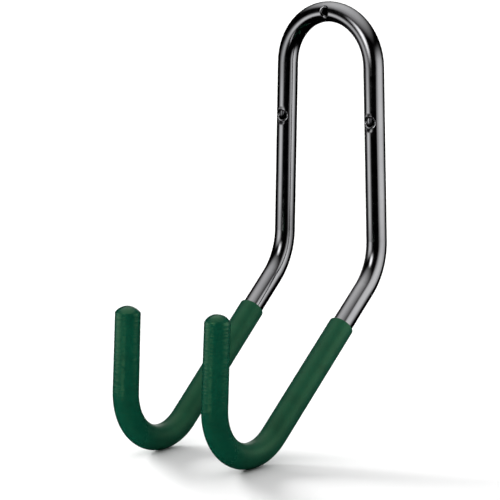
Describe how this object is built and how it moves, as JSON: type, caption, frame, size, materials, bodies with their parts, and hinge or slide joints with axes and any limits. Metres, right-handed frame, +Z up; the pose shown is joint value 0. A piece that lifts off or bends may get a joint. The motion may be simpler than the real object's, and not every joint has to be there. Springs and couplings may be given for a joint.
{
  "type": "garage utility hook",
  "caption": "Wall hook bent from round steel tube: a screw-down mounting loop whose legs bend forward into slanting arms with upturned tips, sleeved in dipped vinyl.",
  "frame": {"origin": "on the wall plane, halfway between the two leg screw holes", "axes": "+X across the wall to the right as seen from the room, +Y into the wall, +Z up"},
  "size_m": [0.087, 0.1667, 0.2622],
  "materials": {
    "plated_steel": "bright dark nickel plate on smooth steel tube",
    "green_vinyl": "matte dipped vinyl, dark green"
  },
  "bodies": {
    "root": {"hook_tube": "plated_steel", "left_grip": "green_vinyl", "right_grip": "green_vinyl"}
  },
  "joints": []
}
